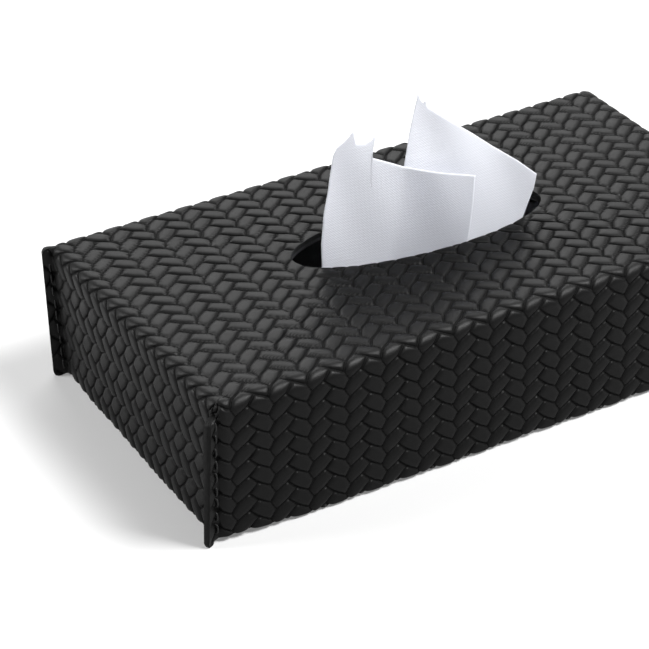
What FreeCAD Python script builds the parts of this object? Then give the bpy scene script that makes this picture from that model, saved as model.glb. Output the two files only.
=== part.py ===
"""Tissue box cover in embossed leatherette, with a magnetic bottom flap and a tissue drawn up.

A folded leatherette blank covers five stiffener boards, lined inside. The blank's corners are
pinched back to back and stitched as outward flanges. The bottom is a board flap on a fabric
hinge along the back wall, held shut by two magnets under tabs on the front wall.

The walls and the flap end above the table, so that the box stands on its flanges.

Frame: millimetres, +X along the box, +Y to the back, +Z up, origin under the middle at z = 0.
"""
import FreeCAD, Part
import os
import Sketcher

SIZES = [
    ("length", 252.0, "outer length between the end walls"),
    ("width", 127.0, "outer width at the top"),
    ("height", 57.0, "height of the box without the tissue"),
    ("flare", 3.0, "how far the front and back wall stand out at table height"),
    ("wall_rise", 1.2, "how far the walls and the flap end above the table"),
    ("fold_radius", 4.0, "outer radius of the folds round the top"),
    ("corner_radius", 5.0, "outer radius of the upright corners beside the flanges"),
    ("skin", 1.3, "thickness of the leatherette blank"),
    ("board", 2.0, "thickness of the stiffener boards"),
    ("lining", 0.7, "thickness of the lining"),
    ("board_gap", 0.5, "gap between a board's ends and the rounded folds"),
    ("lining_reach", 0.5, "how far the lining of a wall runs into each upright corner"),
    ("flange_thickness", 3.4, "two margins of the blank, back to back"),
    ("flange_reach", 4.5, "how far a flange stands out of its corner"),
    ("flange_turn", 17.0, "how far a flange leans from the diagonal to the end wall, in degrees"),
    ("flange_drop", 4.0, "how far the flanges end below the top"),
    ("flange_tip", 2.0, "radius of a flange's outer corners"),
    ("thread", 0.8, "thickness of the seam thread"),
    ("stitch", 3.6, "length of one stitch"),
    ("stitch_pitch", 5.4, "distance from one stitch to the next"),
    ("slot_length", 108.0, "length of the oval slot"),
    ("slot_width", 35.6, "width of the oval slot"),
    ("slot_right", 1.0, "how far the slot's middle lies to the right"),
    ("slot_back", 2.7, "how far the slot's middle lies towards the back"),
    ("slot_turn", -3.1, "how far the slot is turned, in degrees"),
    ("lining_setback", 0.8, "how far the top lining stays back from the slot's edge"),
    ("slot_hem", 2.5, "how far the top board stays back from the slot's edge"),
    ("flap_cover_thickness", 1.2, "thickness of the flap's cover"),
    ("flap_board_thickness", 1.6, "thickness of the flap's board"),
    ("flap_lining_thickness", 0.6, "thickness of the flap's lining"),
    ("flap_gap", 1.0, "clearance round the flap's front and ends"),
    ("flap_corner", 8.0, "radius of the flap's corners"),
    ("pull_tab_width", 16.0, "width of the tab that opens the flap"),
    ("pull_tab_length", 22.0, "length of the tab that opens the flap"),
    ("pull_tab_thickness", 1.0, "thickness of the tab that opens the flap"),
    ("hinge_strip", 0.6, "thickness of the hinge strip"),
    ("hinge_gap", 0.4, "gap between the two legs of the hinge strip"),
    ("hinge_leg", 9.0, "width of the strip glued on the wall and on the flap"),
    ("tab_length", 30.0, "length of a magnet tab along the front wall"),
    ("tab_depth", 11.0, "depth of a magnet tab, from the wall inwards"),
    ("tab_thickness", 2.6, "thickness of a magnet tab"),
    ("tab_gap", 0.4, "gap between the shut flap and a magnet tab"),
    ("tab_spacing", 150.0, "distance between the two magnet tabs"),
    ("magnet_radius", 4.0, "radius of the disc magnets"),
    ("magnet_thickness", 1.4, "thickness of the disc magnets"),
    ("magnet_play", 0.1, "play round a magnet in its pocket"),
    ("stack_length", 205.0, "length of the stack of folded tissues"),
    ("stack_play", 2.4, "play between the stack and the magnet tabs and hinge strip"),
    ("stack_height", 16.0, "height of the stack that is left"),
    ("stack_gap", 0.4, "gap between the stack and the raised tissue"),
    ("leaf", 1.0, "thickness of a folded layer of the raised tissue"),
    ("front_leaf_width", 60.0, "width of the raised tissue's front layer"),
    ("front_leaf_height", 54.0, "height of its highest point above the box"),
    ("front_leaf_x", -45.5, "left end of the raised tissue's front layer"),
    ("front_leaf_y", -2.2, "its distance behind the box's middle there"),
    ("front_leaf_turn", -11.5, "how far the front layer is turned, in degrees"),
    ("back_leaf_width", 61.0, "width of the raised tissue's back layer"),
    ("back_leaf_height", 67.0, "height of its highest point above the box"),
    ("back_leaf_x", -17.0, "left end of the raised tissue's back layer"),
    ("back_leaf_y", -4.7, "its distance behind the box's middle there"),
    ("back_leaf_turn", -4.5, "how far the back layer is turned, in degrees"),
]

LEAN = "atan(Sizes.flare / Sizes.height)"
WALL = "(Sizes.skin + Sizes.board + Sizes.lining)"
CEILING = f"(Sizes.height - {WALL})"
FLAP = "(Sizes.flap_cover_thickness + Sizes.flap_board_thickness + Sizes.flap_lining_thickness)"
HEM_TOP = "(Sizes.wall_rise + Sizes.skin)"
FLAP_BOARD_LOW = "(Sizes.wall_rise + Sizes.flap_cover_thickness)"
FLAP_TOP = f"(Sizes.wall_rise + {FLAP})"
FLANGE_ROOT = f"(Sizes.corner_radius - {WALL} + Sizes.flap_gap)"
LEAF_FOOT = f"{FLAP_TOP} + Sizes.stack_height + Sizes.stack_gap"
TAB_LOW = f"({FLAP_TOP} + Sizes.tab_gap)"
SAME = 1e-4
CORNERS = {
    "front_left": (-1, -1),
    "front_right": (1, -1),
    "back_left": (-1, 1),
    "back_right": (1, 1),
}
# Outlines as shares of the leaf's width and of its height above the box. A height of 0 is
# the leaf's hidden lower edge.
LEAVES = {
    "front": [(0, 0), (0.1, 0.91), (0.2, 1), (0.33, 0.93), (0.53, 0.69), (1, 0.5), (0.93, 0)],
    "back": [(0, 0), (0, 0.57), (0.1, 1), (0.23, 0.87), (0.59, 0.55), (1, 0.27), (0.87, 0)],
}


def half_width(z, inset):
    """Half the width across the leaning walls at height z, inset square to the wall."""
    return f"(Sizes.width / 2 + (Sizes.height - {z}) * tan({LEAN}) - {inset} / cos({LEAN}))"


WALL_FACE = half_width("Sizes.wall_rise", WALL)
FLAP_BACK = f"({WALL_FACE} - 2 * Sizes.hinge_strip - Sizes.hinge_gap)"
FLAP_FRONT = f"({WALL_FACE} - Sizes.flap_gap)"
TAB_BACK = half_width(f"({TAB_LOW} + Sizes.tab_thickness)", WALL)

doc = FreeCAD.newDocument("TissueBox")
nodes = []


def fill_sheet():
    """Puts every driving size in the spreadsheet under its own alias."""
    sheet = doc.addObject("Spreadsheet::Sheet", "Sizes")
    for row, (alias, value, note) in enumerate(SIZES, start=1):
        sheet.set(f"A{row}", note)
        sheet.set(f"B{row}", str(value))
        sheet.setAlias(f"B{row}", alias)
    doc.recompute()
    return sheet


def add(kind, name, **bindings):
    """Adds a document object and binds each named property to its expression."""
    thing = doc.addObject(kind, name)
    for prop, expression in bindings.items():
        thing.setExpression(prop, expression)
    return thing


def at(x="0", y="0", z="0", turn="rotationx(0)"):
    """The expression of a placement."""
    return f"placement(vector({x}; {y}; {z}); {turn})"


def box(name, x_size, y_size, z_size, x="0", y="0", z="0"):
    """A block that is centred on x and starts at y and z."""
    place = at(f"{x} - {x_size} / 2", y, z)
    return add("Part::Box", name, Length=x_size, Width=y_size, Height=z_size, Placement=place)


def disc(name, radius, thickness, x, y, z):
    return add("Part::Cylinder", name, Radius=radius, Height=thickness, Placement=at(x, y, z))


def cut(name, base, tool):
    result = doc.addObject("Part::Cut", name)
    result.Base, result.Tool = base, tool
    return result


def fuse(name, pieces):
    result = doc.addObject("Part::MultiFuse", name)
    result.Shapes = pieces
    result.Refine = True
    return result


def group(name, pieces):
    """Several separate solids in one node."""
    result = doc.addObject("Part::Compound", name)
    result.Links = pieces
    return result


def node(thing, name):
    """Makes the object one of the assembly's pieces."""
    thing.Label = name
    nodes.append(thing)
    return thing


def edge_names(feature, wanted):
    return [f"Edge{i}" for i, edge in enumerate(feature.Shape.Edges, start=1) if wanted(edge)]


def rises(edge):
    """True for an edge that runs from the bottom to the top."""
    low, high = edge.Vertexes
    return abs(high.Z - low.Z) > max(abs(high.X - low.X), abs(high.Y - low.Y))


def lies_across(edge):
    """True for an edge along Y."""
    first, last = edge.Vertexes
    return abs(last.Y - first.Y) > SAME


def round_edges(body, feature, wanted, radius):
    """Fillets the edges of the body's last feature that the test picks."""
    doc.recompute()
    fillet = body.newObject("PartDesign::Fillet", "Fillet")
    fillet.Base = (feature, edge_names(feature, wanted))
    fillet.setExpression("Radius", radius)
    doc.recompute()
    return fillet


def block(name, inset, low, high, folded=True):
    """The box's outline, inset by one layer: leaning walls, round corners and top folds."""
    body = doc.addObject("PartDesign::Body", name)
    wedge = body.newObject("PartDesign::AdditiveWedge", "Wedge")
    reach = f"(Sizes.length / 2 - {inset})"
    foot, head = half_width(low, inset), half_width(high, inset)
    spans = {"X": (reach, reach), "Z": (foot, head)}
    for axis, (bottom, top) in spans.items():
        wedge.setExpression(f"{axis}min", f"-{bottom}")
        wedge.setExpression(f"{axis}max", bottom)
        wedge.setExpression(f"{axis}2min", f"-{top}")
        wedge.setExpression(f"{axis}2max", top)
    wedge.setExpression("Ymin", low)
    wedge.setExpression("Ymax", high)
    wedge.setExpression("Placement", at(turn="rotationx(90)"))
    last = round_edges(body, wedge, rises, f"Sizes.corner_radius - {inset}")
    if folded:
        top_z = max(corner.Z for corner in last.Shape.Vertexes)
        on_top = lambda edge: min(corner.Z for corner in edge.Vertexes) > top_z - SAME
        round_edges(body, last, on_top, f"Sizes.fold_radius - {inset}")
    return body


def corner_place(side_x, side_y, out="0", across="0", up="0"):
    """A placement in a corner's own frame: Z up through its round, X out along the flange."""
    diagonal = {(1, 1): 45, (-1, 1): 135, (-1, -1): 225, (1, -1): 315}[side_x, side_y]
    angle = f"({diagonal} + {-side_x * side_y} * Sizes.flange_turn)"
    centre_x = f"{side_x} * (Sizes.length / 2 - Sizes.corner_radius)"
    centre_y = f"{side_y} * " + half_width("Sizes.height / 2", "Sizes.corner_radius")
    return at(centre_x, centre_y, "0", f"rotationz({angle})") + " * " + at(out, across, up)


def flange(name, side_x, side_y):
    """The two margins of the blank at one corner, as an upright plate."""
    body = doc.addObject("PartDesign::Body", name)
    plate = body.newObject("PartDesign::AdditiveBox", "Plate")
    plate.setExpression("Length", f"Sizes.corner_radius + Sizes.flange_reach - {FLANGE_ROOT}")
    plate.setExpression("Width", "Sizes.flange_thickness")
    plate.setExpression("Height", "Sizes.height - Sizes.flange_drop")
    doc.recompute()
    outer = max(corner.X for corner in plate.Shape.Vertexes)
    is_tip = lambda edge: lies_across(edge) and edge.Vertexes[0].X > outer - SAME
    round_edges(body, plate, is_tip, "Sizes.flange_tip")
    place = corner_place(side_x, side_y, FLANGE_ROOT, "-Sizes.flange_thickness / 2")
    body.setExpression("Placement", place)
    return body


def slot_prism(name, grow):
    """An upright oval prism on the slot's middle, grown all round."""
    oval = add("Part::Ellipse", name + "_oval",
               MajorRadius=f"Sizes.slot_length / 2 + {grow}",
               MinorRadius=f"Sizes.slot_width / 2 + {grow}",
               Placement=at("Sizes.slot_right", "Sizes.slot_back", "Sizes.height / 2",
                            "rotationz(Sizes.slot_turn)"))
    prism = doc.addObject("Part::Extrusion", name)
    prism.Base = oval
    prism.DirMode = "Custom"
    prism.Dir = (0, 0, 1)
    prism.Solid = True
    prism.setExpression("LengthFwd", "Sizes.height")
    return prism


def outer_cover():
    """The folded blank: skin, turned-in hem at the bottom, corner flanges and slot."""
    foot = "Sizes.wall_rise"
    outside = block("cover_outside", "0", foot, "Sizes.height")
    flanges = [flange(f"flange_{i}", *sides) for i, sides in enumerate(CORNERS.values())]
    outline = fuse("cover_outline", [outside] + flanges)
    inside = block("cover_inside", "Sizes.skin", foot, "(Sizes.height - Sizes.skin)")
    skin = cut("cover_skin", outline, inside)
    hem_outside = block("hem_outside", "0", foot, HEM_TOP, folded=False)
    mouth = block("hem_mouth", WALL, foot, HEM_TOP, folded=False)
    hem = cut("cover_hem", hem_outside, mouth)
    whole = fuse("cover_whole", [skin, hem])
    node(cut("outer_cover_cut", whole, slot_prism("cover_slot", "0")), "outer_cover")


def corner_stitching(corner, sides, sheet):
    """A row of stitches through one flange, close to its root."""
    seam = sheet.height - 3 * sheet.flange_drop
    count = int(seam / sheet.stitch_pitch) + 1
    out = "Sizes.corner_radius + Sizes.thread"
    across = "-Sizes.flange_thickness / 2 - Sizes.thread"
    stitches = []
    for i in range(count):
        up = f"Sizes.flange_drop + {i} * Sizes.stitch_pitch"
        stitches.append(add("Part::Box", f"{corner}_stitch_{i}", Length="Sizes.thread",
                            Width="Sizes.flange_thickness + 2 * Sizes.thread",
                            Height="Sizes.stitch",
                            Placement=corner_place(*sides, out, across, up)))
    node(group(f"{corner}_stitches", stitches), f"{corner}_stitching")


def rounded_plate(name, x_size, y_size, thickness, y, z, radius):
    """A flat plate with round corners, centred on x and starting at y and z."""
    body = doc.addObject("PartDesign::Body", name)
    plate = body.newObject("PartDesign::AdditiveBox", "Plate")
    plate.setExpression("Length", x_size)
    plate.setExpression("Width", y_size)
    plate.setExpression("Height", thickness)
    plate.setExpression("Placement", at(f"-({x_size}) / 2", y, z))
    round_edges(body, plate, rises, radius)
    return body


def top_layer(name, thickness, depth, x_size, y_size, radius, grow):
    """A flat layer under the top of the cover, with its own hole round the slot."""
    plate = rounded_plate(name + "_plate", x_size, y_size, thickness, f"-({y_size}) / 2",
                          f"Sizes.height - ({depth}) - {thickness}", radius)
    node(cut(name + "_cut", plate, slot_prism(name + "_slot", grow)), name)


def leaning_layer(name, side, x_size, thickness, depth, top):
    """A flat layer inside the front (side -1) or back (side 1) wall, standing on the hem."""
    inner = f"({depth} + {thickness})"
    near = depth if side < 0 else inner
    start = f"({HEM_TOP} + {inner} * sin({LEAN})) / cos({LEAN})"
    end = f"({top} + ({depth}) * sin({LEAN})) / cos({LEAN})"
    foot = half_width("0", "0")
    y = f"{side} * ({foot} - ({near}) * cos({LEAN}) - {start} * sin({LEAN}))"
    z = f"{start} * cos({LEAN}) - ({near}) * sin({LEAN})"
    place = at(f"-({x_size}) / 2", y, z, f"rotationx({side} * {LEAN})")
    node(add("Part::Box", name + "_plate", Length=x_size, Width=thickness,
             Height=f"{end} - {start}", Placement=place), name)


def end_layer(name, side, y_size, thickness, depth, top):
    """A flat layer inside the left (side -1) or right (side 1) wall, standing on the hem."""
    x = f"{side} * (Sizes.length / 2 - ({depth}) - {thickness} / 2)"
    node(box(name + "_plate", thickness, y_size, f"{top} - {HEM_TOP}",
             x, f"-({y_size}) / 2", HEM_TOP), name)


def boards():
    """The five stiffener boards, glued inside the blank."""
    fold = "2 * (Sizes.fold_radius + Sizes.board_gap)"
    corner = "2 * (Sizes.corner_radius + Sizes.board_gap)"
    top = "(Sizes.height - Sizes.fold_radius - Sizes.board_gap)"
    top_layer("top_board", "Sizes.board", "Sizes.skin",
              f"(Sizes.length - {fold})", f"(Sizes.width - {fold})",
              "Sizes.corner_radius - Sizes.fold_radius", "Sizes.slot_hem")
    for name, side in (("front_board", -1), ("back_board", 1)):
        leaning_layer(name, side, f"(Sizes.length - {corner})", "Sizes.board", "Sizes.skin", top)
    for name, side in (("left_board", -1), ("right_board", 1)):
        end_layer(name, side, f"(Sizes.width - {corner})", "Sizes.board", "Sizes.skin", top)


def linings():
    """The five lining pieces, glued on the boards."""
    depth = "(Sizes.skin + Sizes.board)"
    corner = "2 * (Sizes.corner_radius - Sizes.lining_reach)"
    face_to_face = half_width(f"(Sizes.height - {depth})", WALL)
    top_layer("top_lining", "Sizes.lining", depth, f"(Sizes.length - 2 * {WALL})",
              f"(2 * {face_to_face})", f"Sizes.corner_radius - {WALL}", "Sizes.lining_setback")
    for name, side in (("front_lining", -1), ("back_lining", 1)):
        leaning_layer(name, side, f"(Sizes.length - {corner})", "Sizes.lining", depth, CEILING)
    for name, side in (("left_lining", -1), ("right_lining", 1)):
        end_layer(name, side, f"(Sizes.width - {corner})", "Sizes.lining", depth, CEILING)


def magnet_spots():
    """The x and y expressions of the two magnets along the front wall."""
    depth = f"-({TAB_BACK} - Sizes.tab_depth / 2)"
    return [(f"{side} * Sizes.tab_spacing / 2", depth) for side in (-1, 1)]


def magnet_row(name, z):
    magnets = [disc(f"{name}_{i}", "Sizes.magnet_radius", "Sizes.magnet_thickness", x, y, z)
               for i, (x, y) in enumerate(magnet_spots())]
    node(group(name + "_row", magnets), name)


def magnet_pockets(name, z, depth):
    radius = "Sizes.magnet_radius + Sizes.magnet_play"
    return [disc(f"{name}_pocket_{i}", radius, depth, x, y, z)
            for i, (x, y) in enumerate(magnet_spots())]


def magnet_tabs():
    """Two tabs on the front wall over the shut flap, each with a magnet in a pocket."""
    pocket_low = f"({TAB_LOW} + (Sizes.tab_thickness - Sizes.magnet_thickness) / 2)"
    tabs = []
    pockets = magnet_pockets("tab", pocket_low, "Sizes.magnet_thickness")
    for i, pocket in enumerate(pockets):
        x = f"{(-1, 1)[i]} * Sizes.tab_spacing / 2"
        blank = box(f"tab_blank_{i}", "Sizes.tab_length", "Sizes.tab_depth",
                    "Sizes.tab_thickness", x, f"-{TAB_BACK}", TAB_LOW)
        tabs.append(cut(f"tab_{i}", blank, pocket))
    node(group("tab_pair", tabs), "magnet_tabs")
    magnet_row("tab_magnets", pocket_low)


def flap_layer(name, thickness, low, pockets=()):
    """One layer of the flap, with round corners and pockets for the magnets."""
    length = f"(Sizes.length - 2 * {WALL} - 2 * Sizes.flap_gap)"
    layer = rounded_plate(name + "_plate", length, f"({FLAP_FRONT} + {FLAP_BACK})", thickness,
                          f"-{FLAP_FRONT}", low, "Sizes.flap_corner")
    for i, pocket in enumerate(pockets):
        layer = cut(f"{name}_cut_{i}", layer, pocket)
    node(layer, name)


def flap():
    """The bottom flap in three layers, its magnets let into the board, and its pull tab."""
    lining_low = f"({FLAP_TOP} - Sizes.flap_lining_thickness)"
    flap_layer("flap_cover", "Sizes.flap_cover_thickness", "Sizes.wall_rise")
    pockets = magnet_pockets("flap", FLAP_BOARD_LOW, "Sizes.flap_board_thickness")
    flap_layer("flap_board", "Sizes.flap_board_thickness", FLAP_BOARD_LOW, pockets)
    flap_layer("flap_lining", "Sizes.flap_lining_thickness", lining_low)
    magnet_row("flap_magnets", FLAP_BOARD_LOW)
    thin = "Sizes.pull_tab_thickness"
    tab = box("pull_tab_strip", "Sizes.pull_tab_width", "Sizes.pull_tab_length", thin,
              y=f"-{FLAP_FRONT}", z=f"Sizes.wall_rise - {thin}")
    node(tab, "pull_tab")


def hinge_strip():
    """A strip folded down along the back wall, up the flap's edge and over onto the flap."""
    length = "(Sizes.length - 2 * Sizes.corner_radius - 2 * Sizes.flap_corner)"
    thin = "Sizes.hinge_strip"
    low = "(Sizes.wall_rise + Sizes.hinge_gap)"
    wall_leg = add("Part::Box", "hinge_wall_leg", Length=length, Width=thin,
                   Height="Sizes.hinge_leg",
                   Placement=at(f"-{length} / 2", half_width(low, f"({WALL} + {thin})"), low,
                                f"rotationx({LEAN})"))
    to_wall = half_width(f"({low} + {thin})", WALL) + f" - {FLAP_BACK}"
    fold = box("hinge_fold", length, to_wall, thin, y=FLAP_BACK, z=low)
    flap_leg = box("hinge_flap_leg", length, thin, f"{FLAP_TOP} + {thin} - {low}",
                   y=FLAP_BACK, z=low)
    top_leg = box("hinge_top_leg", length, f"Sizes.hinge_leg + {thin}", thin,
                  y=f"{FLAP_BACK} - Sizes.hinge_leg", z=FLAP_TOP)
    node(fuse("hinge_strip_whole", [wall_leg, fold, flap_leg, top_leg]), "hinge_strip")


def pin(sketch, line, axis, start, expression):
    """Ties one coordinate of a line's first end to an expression."""
    distance = Sketcher.Constraint("Distance" + axis, -1, 1, line, 1, start)
    index = sketch.addConstraint(distance)
    sketch.setExpression(f"Constraints[{index}]", expression)


def leaf(side):
    """One layer of the raised tissue: a thin upright sheet that starts just above the stack."""
    size = f"Sizes.{side}_leaf_"
    body = doc.addObject("PartDesign::Body", f"{side}_leaf_sheet")
    sketch = body.newObject("Sketcher::SketchObject", "Outline")
    plane = [f for f in body.Origin.OriginFeatures if f.Role == "XZ_Plane"][0]
    sketch.AttachmentSupport = (plane, [""])
    sketch.MapMode = "FlatFace"
    starts = [FreeCAD.Vector(along, 1 + up, 0) for along, up in LEAVES[side]]
    ends = starts[1:] + starts[:1]
    sketch.addGeometry([Part.LineSegment(*line) for line in zip(starts, ends)])
    for i, (along, up) in enumerate(LEAVES[side]):
        following = (i + 1) % len(starts)
        sketch.addConstraint(Sketcher.Constraint("Coincident", i, 2, following, 1))
        height = f"Sizes.height + {up} * {size}height" if up else LEAF_FOOT
        pin(sketch, i, "X", starts[i].x, f"{along} * {size}width")
        pin(sketch, i, "Y", starts[i].y, height)
    pad = body.newObject("PartDesign::Pad", "Pad")
    pad.Profile = sketch
    pad.setExpression("Length", "Sizes.leaf")
    body.setExpression("Placement", at(size + "x", size + "y", turn=f"rotationz({size}turn)"))
    node(body, f"tissue_{side}_leaf")


def tissue():
    """The stack on the flap and the two layers of the tissue that stands up in the slot."""
    front = f"({TAB_BACK} - Sizes.tab_depth - Sizes.stack_play)"
    back = f"({FLAP_BACK} - Sizes.hinge_leg - Sizes.stack_play)"
    box_stack = box("stack_block", "Sizes.stack_length", f"{front} + {back}",
                    "Sizes.stack_height", y=f"-{front}", z=FLAP_TOP)
    node(box_stack, "tissue_stack")
    for side in LEAVES:
        leaf(side)


def write_parts():
    """Checks every object and writes each piece to its own file."""
    doc.recompute()
    for thing in doc.Objects:
        if "Invalid" in thing.State or "Error" in thing.State:
            raise RuntimeError(f"{thing.Name} failed: {thing.State}")
    for thing in nodes:
        if thing.Shape.isNull() or not thing.Shape.isValid():
            raise RuntimeError(f"{thing.Label} has no valid shape")
    os.makedirs("parts", exist_ok=True)
    for thing in nodes:
        thing.Shape.exportStep(f"parts/{thing.Label}.step")
        print(f"{thing.Label}: {len(thing.Shape.Solids)} solids, {thing.Shape.Volume:.0f} mm3")


sizes = fill_sheet()
outer_cover()
boards()
linings()
for corner_name, corner_sides in CORNERS.items():
    corner_stitching(corner_name, corner_sides, sizes)
magnet_tabs()
flap()
hinge_strip()
tissue()
write_parts()
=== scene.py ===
"""Woven leatherette tissue box cover: finishes, soft shapes and stage, laid out as an add-on.

Lengths in the functions are millimetres; the meshes are stored in metres. The weave is worked
out on the flat blank: p runs along the box and q from the back to the front, and both go on
over the folds and down the walls.
"""
import math
from functools import partialmethod
import bpy
import numpy as np
from mathutils import Matrix, Vector


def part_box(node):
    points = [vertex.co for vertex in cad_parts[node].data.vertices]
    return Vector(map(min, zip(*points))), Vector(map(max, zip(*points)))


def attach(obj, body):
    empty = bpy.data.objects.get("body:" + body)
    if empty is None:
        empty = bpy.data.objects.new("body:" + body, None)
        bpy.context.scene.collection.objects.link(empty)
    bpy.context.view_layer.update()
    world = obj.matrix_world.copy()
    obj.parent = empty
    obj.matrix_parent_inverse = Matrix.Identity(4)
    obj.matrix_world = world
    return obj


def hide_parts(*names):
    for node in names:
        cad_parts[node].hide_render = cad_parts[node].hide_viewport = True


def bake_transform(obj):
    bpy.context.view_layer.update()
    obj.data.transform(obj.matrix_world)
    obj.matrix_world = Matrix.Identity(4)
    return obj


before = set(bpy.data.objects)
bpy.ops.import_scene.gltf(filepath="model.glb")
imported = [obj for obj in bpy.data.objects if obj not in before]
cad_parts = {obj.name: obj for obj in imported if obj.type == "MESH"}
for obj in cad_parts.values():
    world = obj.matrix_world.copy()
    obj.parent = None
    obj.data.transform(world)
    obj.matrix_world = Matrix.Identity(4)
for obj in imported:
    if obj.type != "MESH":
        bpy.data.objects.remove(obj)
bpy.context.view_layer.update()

bl_info = {
    "name": "Tissue Box Cover",
    "version": (1, 0, 0),
    "blender": (4, 5, 0),
    "location": "3D View > Sidebar > Tissue Box",
    "description": "Builds a woven leatherette tissue box cover with its flap and tissue",
    "category": "Add Mesh",
}

MM = 0.001
FINE = 0.6  # spacing of the cover's grid
HALF_LENGTH = 126.0
HALF_WIDTH = 63.5
HEIGHT = 57.0
FLARE = 3.3  # how far the middle of a long wall stands out at table height
FRONT_CORNER_FLARE = 1.0  # and a front corner
BACK_CORNER_FLARE = -3.6  # a back corner stands in
END_LEAN = 3.4  # how far an end wall leans in at its back edge
FOLD = 4.0  # radius of the folds round the top
ROUND = 4.6  # radius of the upright corners
SKIN = 1.3
BOARD = 2.0
LINING = 0.7
WALL = SKIN + BOARD + LINING
FLAP_ROUND = 8.0
BOARD_ROUND = 1.0
HEM_TOP = 2.5  # where the hem ends inside
HEM_TURN = 2.4  # how far the slot's hem reaches back towards the top's board
CLEAR = 0.05  # gap between that hem and the lining
FOOT = 1.0  # lower edge of the walls
FOOT_WAVES = ((0.2, 9.7), (0.1, 4.1))  # height and spread of its waves
EDGE = 0.6  # rounding of the lower edge
FLANGE_HALF = 1.6
FLANGE_REACH = 3.3  # at the top
FLANGE_SPREAD = 2.4  # how much further it reaches at table height
FLANGE_TOP = 52.0  # where a flange ends below the top
HIGH_FLANGE_TOP = 56.6  # the one at the back on the left reaches right up
FLANGE_CLOSE = 2.5  # height over which a flange closes at its top
FLANGE_TAPER = 0.28  # share of its thickness that it loses down to its foot
TIP_ROUND = 2.0  # rounding of the foot's tip
EDGE_BULGE = 0.3  # how far a flange's raw edge bulges
FILLET = 0.6  # hollow between a flange and the walls
PIT = 2.4  # depth of the hollow in the corner over a low flange
PIT_DROP = 0.5  # how far below the flange's end it is deepest
PIT_HEIGHT = 1.8
PIT_WIDTH = 1.5
END_TURN = math.radians(28)  # from an end wall's normal to a flange
LONG_TURN = math.radians(62)  # from a long wall's normal to a flange
SLOT = (1.0, 2.7, 54.0, 17.8)  # middle and half lengths of the slot
SLOT_TURN = math.radians(-3.1)
SLOT_PRESS = 0.65  # how far the slot's cut edge is pressed flat
CORNERS = {"front_left": (-1, -1), "front_right": (1, -1),
           "back_left": (-1, 1), "back_right": (1, 1)}
STITCHES = 9
STITCH_LENGTH = 3.4
STITCH_PITCH = 5.4
STITCH_START = 5.8  # height of the lowest stitch's middle
STITCH_OUT = 1.15  # from a corner's round out to the stitches
STITCH_SINK = 0.2  # how deep the stitches press into a flange
STITCH_SLANT = 0.25  # how far a stitch's two ends stand up or down
THREAD = 0.42  # radius of the thread
# How far one stitch's length, height and place differ, and the angle from one to the next.
LENGTH_VARIES = (0.3, 5.1)
HEIGHT_VARIES = (0.25, 3.7)
PLACE_VARIES = (0.15, 2.3)


# Maths that reads the same for arrays and for shader values.

class Value:
    """A shader socket that takes part in Python expressions."""

    def __init__(self, graph, socket):
        self.graph = graph
        self.socket = socket

    def maths(self, operation, *others):
        inputs = dict(enumerate((self,) + others))
        return self.graph.node("Math", {"operation": operation}, inputs)

    __add__ = __radd__ = partialmethod(maths, "ADD")
    __mul__ = __rmul__ = partialmethod(maths, "MULTIPLY")
    __sub__ = partialmethod(maths, "SUBTRACT")
    __pow__ = partialmethod(maths, "POWER")
    __mod__ = partialmethod(maths, "FLOORED_MODULO")

    def __rsub__(self, other):
        return (self * -1) + other


class Graph:
    """A node tree. Every node comes from node(), set first and then plugged."""

    def __init__(self, tree):
        self.tree = tree
        tree.nodes.clear()

    def node(self, kind, settings=None, inputs=None, output=0):
        made = self.tree.nodes.new("ShaderNode" + kind)
        for name, value in (settings or {}).items():
            setattr(made, name, value)
        for name, value in (inputs or {}).items():
            self.plug(made.inputs[name], value)
        return Value(self, made.outputs[output]) if made.outputs else None

    def plug(self, socket, value):
        if isinstance(value, Value):
            self.tree.links.new(value.socket, socket)
        else:
            socket.default_value = value

    def object_place(self):
        return self.node("TexCoord", output="Object")

    def flat_place(self):
        """Place on the flat blank in millimetres, from the UV map."""
        return self.node("UVMap", {"uv_map": "flat"})

    def axis(self, vector, letter):
        return self.node("SeparateXYZ", inputs={0: vector}, output=letter)

    def noise(self, vector, scale, detail=2.0, rough=0.5):
        return self.node("TexNoise", inputs={
            "Vector": vector, "Scale": scale, "Detail": detail, "Roughness": rough})

    def mix_colour(self, factor, first, second):
        return self.node("Mix", {"data_type": "RGBA"},
                         {"Factor": factor, 6: first, 7: second}, output=2)

    def range(self, value, low, high, to_low=0.0, to_high=1.0):
        """Carries low..high over to to_low..to_high with soft ends."""
        return self.node("MapRange", {"interpolation_type": "SMOOTHSTEP"}, {
            0: value, 1: low, 2: high, 3: to_low, 4: to_high})

    def bump(self, height, distance, strength=1.0, normal=None):
        inputs = {"Height": height, "Distance": distance, "Strength": strength}
        if normal:
            inputs["Normal"] = normal
        return self.node("Bump", inputs=inputs)

    def seen(self):
        """1 for the rays that show a background: straight, mirrored or through glass."""
        rays = [self.node("LightPath", output=kind)
                for kind in ("Is Camera Ray", "Is Glossy Ray", "Is Transmission Ray")]
        return rays[0].maths("MAXIMUM", rays[1]).maths("MAXIMUM", rays[2])

    def principled(self, **inputs):
        named = {name.replace("_", " "): value for name, value in inputs.items()}
        return self.node("BsdfPrincipled", inputs=named)

    def mix_shader(self, factor, first, second):
        return self.node("MixShader", inputs={0: factor, 1: first, 2: second})


def triangle(value, half):
    """A wave of straight runs: 0 at 0, half at half, and 0 again at twice half."""
    if isinstance(value, Value):
        return value.maths("PINGPONG", half)
    return half - np.abs(value % (2 * half) - half)


def lower(first, second, soft):
    """The smaller of two values, with a round changeover soft wide."""
    if isinstance(first, Value):
        return first.maths("SMOOTH_MIN", second, soft)
    near = np.maximum(soft - np.abs(first - second), 0) / soft
    return np.minimum(first, second) - near ** 3 * soft / 6


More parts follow.
